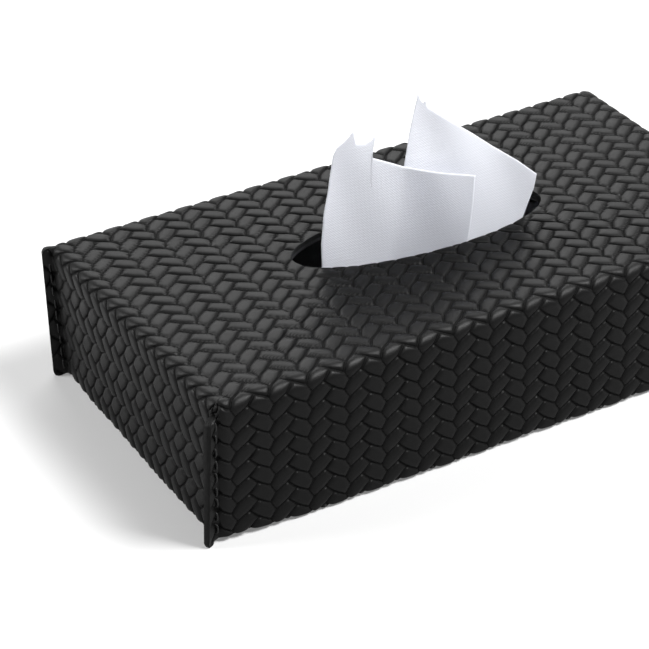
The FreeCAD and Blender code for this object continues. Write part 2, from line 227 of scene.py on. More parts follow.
def clipped(value, low, high):
    if isinstance(value, Value):
        return value.maths("MAXIMUM", low).maths("MINIMUM", high)
    return np.clip(value, low, high)


def choose(switch, yes, no):
    """yes where the switch is above 0, and no elsewhere."""
    if isinstance(switch, Value):
        mask = switch.maths("GREATER_THAN", 0.0)
        return mask * yes + (1 - mask) * no
    return np.where(switch > 0, yes, no)


# The weave.

ACROSS = 15.37  # the weave's repeat along p
ALONG = 7.31  # and along q
WEAVE_P = -5.38  # place of one knot of the weave
WEAVE_Q = 6.85
NEAR_SWING = 3.65  # swing of the zigzag groove through the knots
FAR_START = -7.05  # the second zigzag, its swing and its lead
FAR_SWING = 2.25
FAR_LEAD = 0.92
RUNG = 0.575  # slope of the grooves between the zigzags
STEEP = 0.707  # cosines from distance along p to true distance
SLACK = 0.85
RUNG_SLACK = 0.867
SOFT = 1.1  # width of the round changeover where two grooves meet
SHALLOW = 0.15  # added to the distance where a strap dives, so that its groove is shallow
RELIEF = 1.15  # depth of the weave
GROOVE_LEVEL = 0.8  # share of the relief that lies below the flat skin
STEEP_SIDE = 0.45  # distance over which a strap's side rises
CROWN = 2.6  # distance from the groove to a strap's crown


def weave(p, q):
    """Distance from the nearest groove of the herringbone weave.

    Two zigzag grooves run along q. Between them, slanting rungs cut the bands into cells: they
    slope one way on the near side of the first zigzag and the other way beyond it. Where a
    strap dives under the next one, on the second zigzag's outward runs, the groove is shallow.
    """
    p = p - WEAVE_P
    q = q - WEAVE_Q
    half = ALONG / 2
    near = triangle(q, half) * (NEAR_SWING / half)
    far = triangle(q + FAR_LEAD, half) * (FAR_SWING / half) + FAR_START
    past = (p - far) % ACROSS
    band = near - far
    x = past + far
    shallow = clipped(triangle(q + FAR_LEAD + half / 2, half) - half / 2, 0.0, SHALLOW)
    rung = RUNG_SLACK * triangle(q + RUNG * x, half)
    rising = lower(lower((band - past) * STEEP, rung, SOFT), past * SLACK + shallow, SOFT)
    offset = half + RUNG * NEAR_SWING
    rung = RUNG_SLACK * triangle(q - RUNG * x + offset, half)
    rest = (ACROSS - past) * SLACK + shallow
    falling = lower(lower((past - band) * STEEP, rung, SOFT), rest, SOFT)
    return choose(band - past, rising, falling)


def relief(p, q):
    """Height of the weave over its grooves: straps that round off steeply at their sides."""
    distance = np.clip(weave(p, q), 0, None)
    steep = 1 - np.exp(-distance / STEEP_SIDE)
    share = np.clip(distance / CROWN, 0, 1)
    swell = np.sqrt(share * (2 - share))
    return RELIEF * (0.5 * steep + 0.5 * swell)


# Meshes.

def smooth_step(value, low, high):
    share = np.clip((value - low) / (high - low), 0, 1)
    return share * share * (3 - 2 * share)


def grid_faces(rows, columns, closed=False, flip=False):
    """Quads between the points of a grid, its last column joined to the first if closed."""
    r, c = np.meshgrid(np.arange(rows - 1), np.arange(columns if closed else columns - 1),
                       indexing="ij")
    following = (c + 1) % columns
    quads = [r * columns + c, r * columns + following,
             (r + 1) * columns + following, (r + 1) * columns + c]
    faces = np.stack(quads, -1).reshape(-1, 4)
    return faces[:, ::-1] if flip else faces


def grid_normals(points, flip):
    """Unit normals of a grid: the cross product of its two directions."""
    down = np.gradient(points, axis=0)
    across = np.gradient(points, axis=1)
    normals = np.cross(down, across) if flip else np.cross(across, down)
    return normals / np.maximum(np.linalg.norm(normals, axis=-1, keepdims=True), 1e-9)


def mesh_piece(name, points, faces, uv=None, normals=None):
    """A smooth object at the origin from points in millimetres, with a UV map if given."""
    mesh = bpy.data.meshes.new(name)
    mesh.from_pydata((points.reshape(-1, 3) * MM).tolist(), [], faces.tolist())
    mesh.polygons.foreach_set("use_smooth", np.full(len(mesh.polygons), True))
    if uv is not None:
        corners = np.empty(len(mesh.loops), dtype=np.int32)
        mesh.loops.foreach_get("vertex_index", corners)
        layer = mesh.uv_layers.new(name="flat")
        layer.data.foreach_set("uv", uv.reshape(-1, 2)[corners].ravel())
    if normals is not None:
        mesh.normals_split_custom_set_from_vertices(normals.reshape(-1, 3).tolist())
    mesh.update()
    piece = bpy.data.objects.new(name, mesh)
    bpy.context.scene.collection.objects.link(piece)
    return piece


def grid_piece(name, points, blank=None, closed=False, flip=False):
    """A piece whose faces join the points of a grid."""
    return mesh_piece(name, points, grid_faces(*points.shape[:2], closed, flip), blank)


def finish_piece(piece, material, body, replaces=()):
    """Gives a piece its material, body and the nodes that it stands for."""
    piece.data.materials.append(material)
    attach(piece, body)
    if replaces:
        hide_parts(*replaces)


def compass(angle):
    """Unit vectors in plan at the given angles."""
    return np.stack([np.cos(angle), np.sin(angle)], -1)


# The cover: a top and four walls that meet in the corner flanges.

FACE_STEPS = 9
FILLET_STEPS = 4
LONG_ARC_STEPS = 6
END_ARC_STEPS = 2
FOLD_ROWS = 12
WALL_ROWS = 90
EDGE_ROWS = 5
UNDER_ROWS = 4
RINGS = 70
STRIP_STEPS = 9
# Lengths along a wall from its seam, between which something comes or goes.
FOOT_RISES = (1.8, 6.8)  # the lower edge leaves the table beside the flange
LIFT_GOES = (7.8, 37.8)  # a corner's lift gives way to the wall's own height
WAVES_COME = (8, 20)  # the lower edge starts to wave
BOW_COMES = (6, 30)  # the wall bulges
WEAVE_COMES = (0.2, 1.8)  # the relief takes on its depth
BOW_RUN = 0.6  # share of a half wave that the bulge takes from the top to the table
FOLD_SETTLE = 1.2  # angle round the fold over which the weave settles to the wall
SEAM_FADE = 1.5  # how far in from a seam the top's relief is pressed flat
SLOT_FADE = 1.2  # and how far from the slot's cut edge
RIM_DROP = 0.15  # first step of the slot's hem


def settle(points):
    """Leans the upright walls as the soft box stands: out in the middle of the long walls, in
    at the back corners, more and more towards the table."""
    x, y, z = np.moveaxis(points, -1, 0)
    drop = np.clip((HEIGHT - z) / HEIGHT, 0, 1)
    along, across = x / HALF_LENGTH, y / HALF_WIDTH
    corner = np.where(y < 0, FRONT_CORNER_FLARE, BACK_CORNER_FLARE)
    flare = corner + (FLARE - corner) * np.clip(1 - along ** 4, 0, 1)
    lean = END_LEAN * (1 + across) / 2
    return np.stack([x - along * lean * drop, y + across * flare * drop, z], -1)


def rows_over_fold():
    """Inset and height of each row from just inside the top's edge to the fold's foot."""
    angle = np.linspace(math.pi / 2, 0, FOLD_ROWS)
    inset = FOLD * (1 - np.cos(angle))
    z = HEIGHT - FOLD + FOLD * np.sin(angle)
    return np.r_[FOLD + FINE, inset], np.r_[HEIGHT, z]


def flange_share(z, top):
    """1 where a flange stands out in full, 0 above it, in a quarter round between."""
    rise = np.clip((z - (top - FLANGE_CLOSE)) / FLANGE_CLOSE, 0, 1)
    return np.sqrt(1 - rise ** 2)


def plain_corner(turn, radius, z, top, count):
    """Plan of one half corner above its flange: the round, with a hollow over a low flange."""
    even = np.linspace(turn, 0, count)[None, :]
    pit = PIT * (top < HEIGHT - FOLD) * np.exp(-((z - top + PIT_DROP) / PIT_HEIGHT) ** 2)
    pit = pit * np.exp(-((turn - even) * ROUND / PIT_WIDTH) ** 2) * (1 - flange_share(z, top))
    return (radius - pit)[..., None] * compass(even)


def corner_path(turn, arc_steps, radius, z, top):
    """Plan of one half corner, from the seam to the wall, row by row.

    With the wall's normal as the first axis and the corner side as the second: the flange's
    face is a line beside its own axis, a hollow arc leads over to the upright round, and the
    round ends where the wall starts. Above the flange the corner is plain. Returns the outer
    points, the points under them inside the hem, and the length along the path.
    """
    half = FLANGE_HALF * (1 - FLANGE_TAPER + FLANGE_TAPER * np.clip(z / top, 0, 1))
    spread = FLANGE_SPREAD * (1 - np.clip(z / HEIGHT, 0, 1))
    below = np.clip(TIP_ROUND - z, 0, TIP_ROUND)
    tip = ROUND + FLANGE_REACH + spread - (TIP_ROUND - np.sqrt(TIP_ROUND ** 2 - below ** 2))
    axis = np.array([math.cos(turn), math.sin(turn)])
    aside = np.array([math.sin(turn), -math.cos(turn)])
    reach = np.sqrt(np.maximum((radius + FILLET) ** 2 - (half + FILLET) ** 2, 0))

    run = np.linspace(0, 1, FACE_STEPS)
    along = tip * (1 - run) + reach * run
    face = along[..., None] * axis + half[..., None] * aside
    lean = np.arctan2(half + FILLET, reach)
    bend = np.linspace(-math.pi / 2, -math.pi + lean[:, 0], FILLET_STEPS, axis=-1)[:, 1:, None]
    centre = reach[..., None] * axis + (half + FILLET)[..., None] * aside
    hollow = centre + FILLET * (np.cos(bend) * axis + np.sin(bend) * aside)
    angle = np.linspace(turn - lean[:, 0], 0 * lean[:, 0], arc_steps + 1, axis=-1)[:, 1:]
    rounded = compass(angle)
    flanged = np.concatenate([face, hollow, radius[..., None] * rounded], 1)

    hem_start = compass(turn - lean) * (ROUND - WALL)
    fade = np.linspace(0, 1, FILLET_STEPS)[1:, None]
    under_hollow = (reach[..., None] * axis) * (1 - fade) + hem_start * fade
    under = np.concatenate([along[..., None] * axis, under_hollow,
                            (ROUND - WALL) * rounded], 1)

    plain = plain_corner(turn, radius, z, top, flanged.shape[1])
    share = flange_share(z, top)[..., None]
    steps = np.linalg.norm(np.diff(flanged[-1], axis=0), axis=-1)
    return share * flanged + (1 - share) * plain, under, np.r_[0, np.cumsum(steps)]


def foot_line(length, lift):
    """Height of the lower edge along a wall, from the seam: 0 under the flange, then up.

    Past the flange it settles from the corner's lift to the wall's own height.
    """
    near = 1 - smooth_step(length, *LIFT_GOES)
    return smooth_step(length, *FOOT_RISES) * (FOOT + lift * near)


def wall_columns(turn, arc_steps, straight):
    """Length from the first seam at every column of a wall, and a half corner's column count."""
    one = np.ones((1, 1))
    corner = corner_path(turn, arc_steps, ROUND * one, 20 * one, FLANGE_TOP)[2]
    steps = int(straight / FINE)
    run = straight * np.arange(1, steps) / steps
    whole = straight + 2 * corner[-1]
    return np.r_[corner, corner[-1] + run, whole - corner[::-1]], len(corner)


def wall_plan(turn, arc_steps, inset, z, ends, tops):
    """Plan of a wall, row by row: the outer points and the hem's inner points.

    Its own axes are 'along' the wall and 'out' of the box.
    """
    half, face = HALF_WIDTH - ROUND + 0 * z, HALF_LENGTH - ROUND + 0 * z
    if turn == LONG_TURN:
        half, face = face, half
    radius = (ROUND - inset)[:, None]
    corners = [corner_path(turn, arc_steps, radius, z[:, side:side + 1 or None], top)
               for side, top in zip((0, -1), tops)]
    run = np.linspace(-1, 1, z.shape[1] - 2 * ends + 2)[1:-1]
    plans = []
    for layer, depth in ((0, inset[:, None]), (1, WALL)):
        first, last = corners[0][layer], corners[1][layer][:, ::-1]
        along = np.concatenate([-half[:, :ends] - first[..., 1], half[:, ends:-ends] * run,
                                half[:, -ends:] + last[..., 1]], 1)
        out = np.concatenate([face[:, :ends] + first[..., 0],
                              face[:, ends:-ends] + ROUND - depth,
                              face[:, -ends:] + last[..., 0]], 1)
        plans.append(np.stack([along, out], -1))
    return plans


def hem_rows(outer, under, foot):
    """Rows round a wall's lower edge, under it and up to the hem's end.

    Returns their plan, their height and how far in from the outer face each point lies.
    """
    hem = under - outer
    depth = np.linalg.norm(hem, axis=-1)
    bend = np.linspace(0, math.pi / 2, EDGE_ROWS + 1)[1:, None]
    across = np.concatenate([EDGE * (1 - np.cos(bend)) + 0 * depth,
                             np.linspace(EDGE + 0 * depth, depth, UNDER_ROWS + 1)[1:], [depth]])
    z = np.concatenate([foot + EDGE * (1 - np.sin(bend)), np.repeat(foot[None], UNDER_ROWS, 0),
                        np.maximum(HEM_TOP, foot + EDGE)[None]])
    return outer + hem * (across / depth)[..., None], z, across


def wall_blank(plan, z, across, foot, length, edge):
    """Place of each point of a wall on the blank: along the wall, and out over the fold.

    Over the fold it eases from the top's own places to lengths measured along the wall.
    """
    angle = np.r_[-FINE / FOLD, np.linspace(0, math.pi / 2, FOLD_ROWS)][:, None]
    fold_rows = len(angle)
    table = FOLD * math.pi / 2 + HEIGHT - FOLD
    down = np.concatenate([FOLD * angle + 0 * length, table - z[fold_rows:-UNDER_ROWS - 1],
                           table - foot + across[-UNDER_ROWS - 1:]])
    settled = np.r_[smooth_step(angle[:, 0], 0, FOLD_SETTLE), np.ones(len(z) - fold_rows)]
    settled = settled[:, None]
    along_top, out_top = plan[1, :, 0], plan[1, :, 1]
    along = along_top * (1 - settled) + (length - length[-1] / 2) * settled
    return along, edge + down - (edge - out_top) * (1 - settled)


def wall_surface(long_wall, side, lifts, bow, tops):
    """One wall with its fold, hem and half of each corner, as a grid from seam to seam.

    Rows run from just inside the top's edge over the fold, down the wall, round its lower edge
    and under it to the inner face. Returns the flat base points, the place of each on the
    blank, the share of the relief that each takes, and whether the grid is turned.
    """
    turn, arc_steps = (LONG_TURN, LONG_ARC_STEPS) if long_wall else (END_TURN, END_ARC_STEPS)
    straight = 2 * ((HALF_LENGTH if long_wall else HALF_WIDTH) - ROUND)
    length, ends = wall_columns(turn, arc_steps, straight)
    rest = length[-1] - length
    near_seam = np.minimum(length, rest)
    foot = foot_line(length, lifts[0]) + foot_line(rest, lifts[1]) - FOOT
    waves = sum(high * np.sin(length / spread) for high, spread in FOOT_WAVES)
    foot = foot + smooth_step(near_seam, *WAVES_COME) * waves

    inset, fold_z = rows_over_fold()
    share = np.arange(1, WALL_ROWS + 1)[:, None] / WALL_ROWS
    wall_z = (HEIGHT - FOLD) * (1 - share) + (foot + EDGE) * share
    z = np.concatenate([np.repeat(fold_z[:, None], len(length), 1), wall_z])
    inset = np.r_[inset, np.zeros(WALL_ROWS)]
    outer, under = wall_plan(turn, arc_steps, inset, z, ends, tops)
    drop = np.clip((HEIGHT - z) / HEIGHT, 0, 1)
    outer[..., 1] += bow * smooth_step(near_seam, *BOW_COMES) * np.sin(math.pi * drop * BOW_RUN)

    hem_plan, hem_z, across = hem_rows(outer[-1], under[-1], foot)
    plan = np.concatenate([outer, hem_plan])
    z = np.concatenate([z, hem_z])
    edge = (HALF_WIDTH if long_wall else HALF_LENGTH) - FOLD
    u, v = wall_blank(plan, z, across, foot, length, edge)

    weave_share = smooth_step(near_seam, *WEAVE_COMES) + 0 * z
    weave_share[-UNDER_ROWS - 1:] = 0
    if long_wall:
        points = settle(np.stack([plan[..., 0], side * plan[..., 1], z], -1))
        return points, np.stack([u, -side * v], -1), weave_share, side < 0
    points = settle(np.stack([side * plan[..., 1], plan[..., 0], z], -1))
    return points, np.stack([side * v, -u], -1), weave_share, side > 0


def emboss(points, blank, share, flip):
    """Pushes a base grid out along its normals by the weave's relief."""
    push = share * (relief(blank[..., 0], blank[..., 1]) - GROOVE_LEVEL * RELIEF)
    return points + grid_normals(points, flip) * push[..., None]


def around(grids, row):
    """One row of every wall, joined to a loop round the top: front, right, back, left."""
    front, right, back, left = (grid[row] for grid in grids)
    return np.concatenate([front[:-1], right[:-1], back[::-1][:-1], left[::-1][:-1]])


def slot_edge(points):
    """The point of the oval slot that faces each point of the top's edge."""
    x, y, half_x, half_y = SLOT
    angle = np.arctan2((points[:, 1] - y) / (HALF_WIDTH - FOLD),
                       (points[:, 0] - x) / (HALF_LENGTH - FOLD))
    along, across = half_x * np.cos(angle), half_y * np.sin(angle)
    cos, sin = math.cos(SLOT_TURN), math.sin(SLOT_TURN)
    return np.stack([x + along * cos - across * sin, y + along * sin + across * cos], -1)


def top_surface(walls):
    """The top from its edge to the slot: base points, places on the blank, relief's share."""
    edge = around([wall[0] for wall in walls], 1)
    beyond = around([wall[0] for wall in walls], 2)
    edge_share = around([wall[2] for wall in walls], 1)
    slot = slot_edge(edge)
    run = np.linspace(0, 1, RINGS)[:, None, None]
    flat = edge[:, :2] * (1 - run) + slot * run
    flat = np.concatenate([flat, np.full(flat.shape[:2] + (1,), HEIGHT)], 2)
    points = np.concatenate([beyond[None], flat])
    blank = points[..., :2] * (1, -1)
    blank[0] = around([wall[1] for wall in walls], 2)
    inward = np.linalg.norm(points[..., :2] - edge[:, :2], axis=-1)
    share = 1 - (1 - edge_share) * np.exp(-(inward / SEAM_FADE) ** 2)
    from_slot = np.linalg.norm(points[..., :2] - slot, axis=-1)
    share = share * (1 - SLOT_PRESS * np.exp(-(from_slot / SLOT_FADE) ** 2))
    return points, blank, share


def cut_edge(rim):
    """Rows of the slot's hem: down in front of the board and back over the lining."""
    outward = rim[:, :2] - np.roll(rim[:, :2], 1, 0)
    outward = np.stack([outward[:, 1], -outward[:, 0]], -1)
    outward /= np.linalg.norm(outward, axis=-1, keepdims=True)
    low = np.full(len(rim), HEIGHT - SKIN - BOARD + CLEAR)
    middle = (rim[:, 2] + low) / 2
    steps = [(0.0, rim[:, 2] - RIM_DROP), (0.0, middle), (0.0, low), (HEM_TURN, low)]
    return np.stack([np.c_[rim[:, :2] + outward * back, z] for back, z in steps])


def edge_strip(first, second):
    """The raw edge of a flange, from one face's tip to the other's, bulging between them."""
    wide = np.linalg.norm(first - second, axis=-1)
    start = np.argmax(wide > 1e-6) - 1
    first, second, wide = first[start:], second[start:], wide[start:]
    run = np.linspace(0, 1, STRIP_STEPS)[None, :, None]
    out = np.sign(first + second) * (math.cos(END_TURN), math.sin(END_TURN), 0)
    swell = EDGE_BULGE * (wide / wide.max())[:, None, None] * np.sin(math.pi * run)
    points = first[:, None] * (1 - run) + second[:, None] * run + out[:, None] * swell
    blank = np.stack([run[..., 0] * wide[:, None], points[..., 2]], -1)
    return points, blank


def rounded_loop(half, radius, side_steps, corner_steps=6):
    """A rectangle's outline with round corners, anticlockwise from the +x side's upper end."""
    turn = np.linspace(0, math.pi / 2, corner_steps)
    quarter = np.array(half) - radius + radius * compass(turn)
    run = np.linspace(1, -1, side_steps + 2)[1:-1, None]
    long_side = np.c_[(half[0] - radius) * run, np.full(side_steps, half[1])]
    end_side = np.c_[np.full(side_steps, -half[0]), (half[1] - radius) * run]
    half_loop = np.concatenate([quarter, long_side, quarter[::-1] * (-1, 1), end_side])
    return np.concatenate([half_loop, -half_loop])


PANEL_EASE = 0.35  # rounding of a panel's edges
PANEL_CLOSING = (0.002, 0.2, 0.4, 0.6, 0.8, 0.96)  # sizes of the outlines that close a face
PANEL_STEPS = 40


def panel(low, high, radius):
    """A thin plate with eased edges: shrunken outlines close its two faces.

    Returns the points and whether the grid is turned, which it is for a plate across y.
    """
    low, high = np.array(low), np.array(high)
    size = high - low
    thin = int(np.argmin(size))
    others = [i for i in range(3) if i != thin]
    half = size[others] / 2
    ease = min(PANEL_EASE, size[thin] / 3)
    closing = np.array(PANEL_CLOSING)
    scale = np.r_[closing, 1 - ease / half.max(), 1, 1, 1 - ease / half.max(), closing[::-1]]
    level = np.r_[closing * 0, 0, ease, size[thin] - ease, size[thin], size[thin] + closing * 0]
    outline = rounded_loop(half, radius, PANEL_STEPS)
    points = np.empty((len(scale), len(outline), 3))
    points[..., others] = ((low + high) / 2)[others] + scale[:, None, None] * outline
    points[..., thin] = low[thin] + level[:, None]
    return points, thin == 1


INSIDE_FOLD_ROWS = 8
INSIDE_LEVELS = (20, 35)  # heights of the rows between the hem and the fold
INSIDE_ROUND = 0.5  # smallest radius of the inside's corners


def inner_face():
    """The cover's inside in the corners: from the hem up the back of the walls to the top."""
    angle = np.linspace(0, math.pi / 2, INSIDE_FOLD_ROWS)
    inset = np.r_[WALL, SKIN, SKIN, SKIN, FOLD - (FOLD - SKIN) * np.cos(angle)]
    z = np.r_[HEM_TOP, HEM_TOP, INSIDE_LEVELS, HEIGHT - FOLD + (FOLD - SKIN) * np.sin(angle)]
    centre = np.array([HALF_LENGTH - ROUND, HALF_WIDTH - ROUND])
    loops = []
    for depth, level in zip(inset, z):
        radius = max(ROUND - depth, INSIDE_ROUND)
        loop = rounded_loop(centre + radius, radius, 0, corner_steps=9)
        loops.append(np.c_[loop, np.full(len(loop), level)])
    return settle(np.stack(loops))


STITCH_STEPS = 24
THREAD_SIDES = 8
ACROSS_POWER = 0.35  # below 1 the loop's corners are squarer
UP_POWER = 0.8


def squared(wave, power):
    """A wave between -1 and 1 that stays longer near its ends."""
    return np.sign(wave) * np.abs(wave) ** power


def stitch_ring(length):
    """One stitch through a flange: a thread tube round a loop of four round-cornered runs."""
    turn = np.linspace(0, 2 * math.pi, STITCH_STEPS, endpoint=False)
    half = FLANGE_HALF - STITCH_SINK + THREAD
    across = half * squared(np.cos(turn), ACROSS_POWER)
    up = length / 2 * squared(np.sin(turn), UP_POWER)
    centre = np.stack([0 * turn, across, up + STITCH_SLANT * np.sign(across)], -1)
    ahead = np.roll(centre, -1, 0) - np.roll(centre, 1, 0)
    ahead /= np.linalg.norm(ahead, axis=-1, keepdims=True)
    side = np.cross(ahead, (1.0, 0, 0))
    angle = np.linspace(0, 2 * math.pi, THREAD_SIDES, endpoint=False)[:, None]
    offset = np.cos(angle) * np.array([1.0, 0, 0])
    return centre[:, None] + THREAD * (offset[None] + np.sin(angle)[None] * side[:, None])


# Finishes. Each function builds its shader in a graph.

GROOVE_EDGE = (0.05, 0.6)  # distances from a groove between which its colour, a painted shade, ends
CROWN_LIGHT = (0.9, 2.3)  # and between which a strap's crown is painted paler, as painted light
FLOOR_GLOW = 0.2  # what the floor adds where it is seen, to reach white
FLOOR_FADE = (0.3, 0.7)  # metres from the box over which the floor turns plain white
TISSUE_THROUGH = 0.45  # share of the light that passes through a tissue
RIB_HALF = 0.75  # half the distance from one pressed rib to the next
THREAD_HALF = 0.45  # half the distance from one lining thread to the next
TWIST_HALF = 0.3  # half the distance from one turn of the thread to the next


def shade(colour, factor):
    """A colour made darker or paler."""
    return tuple(factor * part for part in colour[:3]) + (1.0,)


def ridges(value, half):
    """A wave of straight runs between 0 and 1."""
    return triangle(value, half) * (1 / half)


def woven_leatherette(g, colour, groove):
    """Black leatherette with an embossed weave: painted shade in the grooves, painted light on
    the straps' crowns mixed with random tone, and a fine grain.
    """
    flat = g.flat_place()
    share = g.node("Attribute", {"attribute_name": "weave_share"}, output="Fac")
    distance = weave(g.axis(flat, "X"), g.axis(flat, "Y"))
    # Painted shade: this mask gives the grooves their darker colour; it also roughens and presses
    # them.
    strap = g.range(distance, *GROOVE_EDGE) * share + (1 - share)
    # Painted light: the straps' crowns get a paler colour, mixed below with random grain and
    # cloud tone.
    crown = g.range(distance, *CROWN_LIGHT) * share
    grain = g.noise(flat, scale=2.6, detail=3.0, rough=0.6)
    cloud = g.noise(flat, scale=0.09)
    crown_light_and_tone = crown * 0.5 + grain * 0.25 + cloud * 0.25
    base = g.mix_colour(strap, groove, g.mix_colour(crown_light_and_tone, colour, shade(colour, 1.55)))
    rough = g.range(grain * 0.6 + cloud * 0.4, 0.3, 0.75, to_low=0.38, to_high=0.50)
    rough = rough + (1 - strap) * 0.3
    pressed = g.bump(strap, distance=0.0003, strength=0.8)
    skin = g.bump(grain, distance=0.00008, strength=0.6, normal=pressed)
    return g.principled(Base_Color=base, Roughness=rough, Normal=skin, Specular_IOR_Level=0.1)


def plain_leatherette(g, colour):
    """Black leatherette with a pebbled grain."""
    place = g.object_place()
    pebbles = g.node("TexVoronoi", {"feature": "SMOOTH_F1"}, {
        "Vector": place, "Scale": 900.0, "Smoothness": 0.6, "Randomness": 0.9})
    cloud = g.noise(place, scale=60.0, detail=3.0)
    base = g.mix_colour(g.range(cloud, 0.35, 0.7), colour, shade(colour, 1.7))
    rough = g.range(pebbles, 0.0, 0.8, to_low=0.42, to_high=0.62)
    return g.principled(Base_Color=base, Roughness=rough,
                        Normal=g.bump(1 - pebbles, distance=0.00012, strength=0.7))


def edge_paint(g, colour):
    """Dull edge paint on the raw edges of the flanges, with runs along the edge."""
    flat = g.flat_place()
    u, v = g.axis(flat, "X"), g.axis(flat, "Y")
    stretched = g.node("CombineXYZ", inputs={0: u * 1.6, 1: v * 0.16})
    runs = g.noise(stretched, scale=1.0, detail=4.0, rough=0.6)
    lumps = g.noise(flat, scale=0.55)
    base = g.mix_colour(g.range(runs, 0.35, 0.7), colour, shade(colour, 1.9))
    skin = g.bump(runs * 0.6 + lumps * 0.4, distance=0.0004, strength=0.7)
    rough = g.range(lumps, 0.3, 0.7, to_low=0.45, to_high=0.65)
    return g.principled(Base_Color=base, Roughness=rough, Normal=skin, Specular_IOR_Level=0.08)


def seam_thread(g, colour):
    """Waxed twisted thread."""
    flat = g.flat_place()
    twist = ridges(g.axis(flat, "X") + g.axis(flat, "Y") * 0.8, TWIST_HALF)
    return g.principled(Base_Color=g.mix_colour(twist, colour, shade(colour, 2.2)),
                        Roughness=0.38, Specular_IOR_Level=0.15,
                        Normal=g.bump(twist, distance=0.0001, strength=0.8))


def grey_board(g, colour):
    """Grey stiffener board with pressed fibres."""
    place = g.object_place()
    fibres = g.noise(place, scale=700.0, detail=6.0, rough=0.75)
    patches = g.noise(place, scale=45.0, detail=3.0)
    pale = g.range(fibres * 0.6 + patches * 0.4, 0.35, 0.65)
    return g.principled(Base_Color=g.mix_colour(pale, shade(colour, 0.7), colour),
                        Roughness=0.93, Normal=g.bump(fibres, distance=0.0002, strength=0.6))


def lining_cloth(g, colour):
    """Black lining in a plain weave that shows on faces across any axis."""
    place = g.object_place()
    threads = [ridges(g.axis(place, letter) * 1000, THREAD_HALF) for letter in "XYZ"]
    cloth = (threads[0] + threads[1] + threads[2]) * (1 / 3)
    fuzz = g.noise(place, scale=2500.0, detail=3.0)
    pale = g.range(cloth * 0.75 + fuzz * 0.25, 0.3, 0.8)
    skin = g.bump(cloth * 0.8 + fuzz * 0.2, distance=0.0002, strength=0.6)
    return g.principled(Base_Color=g.mix_colour(pale, colour, shade(colour, 2.4)),
                        Roughness=0.9, Sheen_Weight=0.15, Normal=skin)


def tissue_paper(g, colour):
    """Soft tissue with embossed ribs and dots, which lets some light through."""
    flat = g.flat_place()
    u, v = g.axis(flat, "X"), g.axis(flat, "Y")
    dots = triangle(u + v, 0.5) * triangle(u - v, 0.5) * 4
    fibres = g.noise(flat, scale=1.8, detail=5.0, rough=0.7)
    press = ridges(v, RIB_HALF) * 0.25 + dots * 0.5 + fibres * 0.25
    base = g.mix_colour(g.range(press, 0.2, 0.7), shade(colour, 0.95), colour)
    normal = g.bump(press, distance=0.0002, strength=0.6)
    front = g.principled(Base_Color=base, Roughness=0.95, Normal=normal,
                         Specular_IOR_Level=0.15)
    through = g.node("BsdfTranslucent", inputs={"Color": base, "Normal": normal})
    return g.mix_shader(TISSUE_THROUGH, front, through)


def plated_steel(g, colour):
    """Plated disc magnets with a turned finish."""
    scratches = g.noise(g.object_place(), scale=1600.0, detail=4.0, rough=0.6)
    rough = g.range(scratches, 0.3, 0.7, to_low=0.22, to_high=0.4)
    return g.principled(Base_Color=colour, Metallic=1.0, Roughness=rough,
                        Normal=g.bump(scratches, distance=0.00003, strength=0.5))


def pale_floor(g, colour):
    """Pale floor that keeps the shadow. Where seen, it is lifted and turns white far away."""
    place = g.object_place()
    base = g.mix_colour(g.noise(place, scale=3.0), shade(colour, 0.985), colour)
    diffuse = g.node("BsdfDiffuse", inputs={"Color": base})
    glow = g.node("Emission", inputs={"Strength": FLOOR_GLOW})
    near = g.node("AddShader", inputs={0: diffuse, 1: glow})
    white = g.node("Emission", inputs={"Strength": 1.0})
    away = (g.axis(place, "X") ** 2 + g.axis(place, "Y") ** 2) ** 0.5
    shown = g.mix_shader(g.range(away, *FLOOR_FADE), near, white)
    return g.mix_shader(g.seen(), diffuse, shown)


def finish(build, *colours):
    """The material of a finish, named after its function and made when first asked for."""
    name = build.__name__.replace("_", " ")
    material = bpy.data.materials.get(name)
    if material is None:
        material = bpy.data.materials.new(name)
        material.use_nodes = True
        graph = Graph(material.node_tree)
        shader = build(graph, *(tuple(colour) for colour in colours))
        graph.node("OutputMaterial", inputs={"Surface": shader})
    return material


# Settings.

def colour_property(name, description, default):
    return bpy.props.FloatVectorProperty(name=name, description=description, size=4, min=0.0,
                                         max=1.0, subtype="COLOR", default=default + (1.0,))


def power_property(name, description, default):
    return bpy.props.FloatProperty(name=name, description=description, default=default,
                                   min=0.0, unit="POWER")


class CoverSettings(bpy.types.PropertyGroup):
    """Colours of the cover's leatherette, its seams and its inside."""
    leather: colour_property("Leatherette", "Colour of the straps", (0.0016, 0.0016, 0.0016))
    # Painted shade: the darker colour laid into the weave's grooves.
    groove: colour_property("Grooves", "Colour between the straps", (0.0006, 0.0006, 0.0006))
    paint: colour_property("Edge paint", "Colour of the flange edges", (0.003, 0.003, 0.003))
    thread: colour_property("Thread", "Colour of the seam thread", (0.006, 0.006, 0.006))
    board: colour_property("Board", "Colour of the stiffener boards", (0.42, 0.37, 0.30))
    lining: colour_property("Lining", "Colour of the lining", (0.02, 0.02, 0.02))
    magnet: colour_property("Magnet", "Colour of the magnets' plating", (0.6, 0.6, 0.6))


class TissueSettings(bpy.types.PropertyGroup):
    """Colour of the tissues."""
    paper: colour_property("Tissue", "Colour of the tissues", (0.8, 0.81, 0.845))


class StageSettings(bpy.types.PropertyGroup):
    """Floor and lights."""
    floor: colour_property("Floor", "Colour of the floor", (0.44, 0.44, 0.44))
    key: power_property("Key light", "Power of the light on the left", 20.0)
    overhead: power_property("Overhead light", "Power of the light above", 45.0)
    back: power_property("Back light", "Power of the light behind", 18.0)
    sky: bpy.props.FloatProperty(name="Sky", description="Strength of the light all round",
                                 default=0.03, min=0.0)


def box_mm(node):
    """The low and high corner of a CAD node in millimetres."""
    return tuple(np.array(corner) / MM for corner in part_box(node))


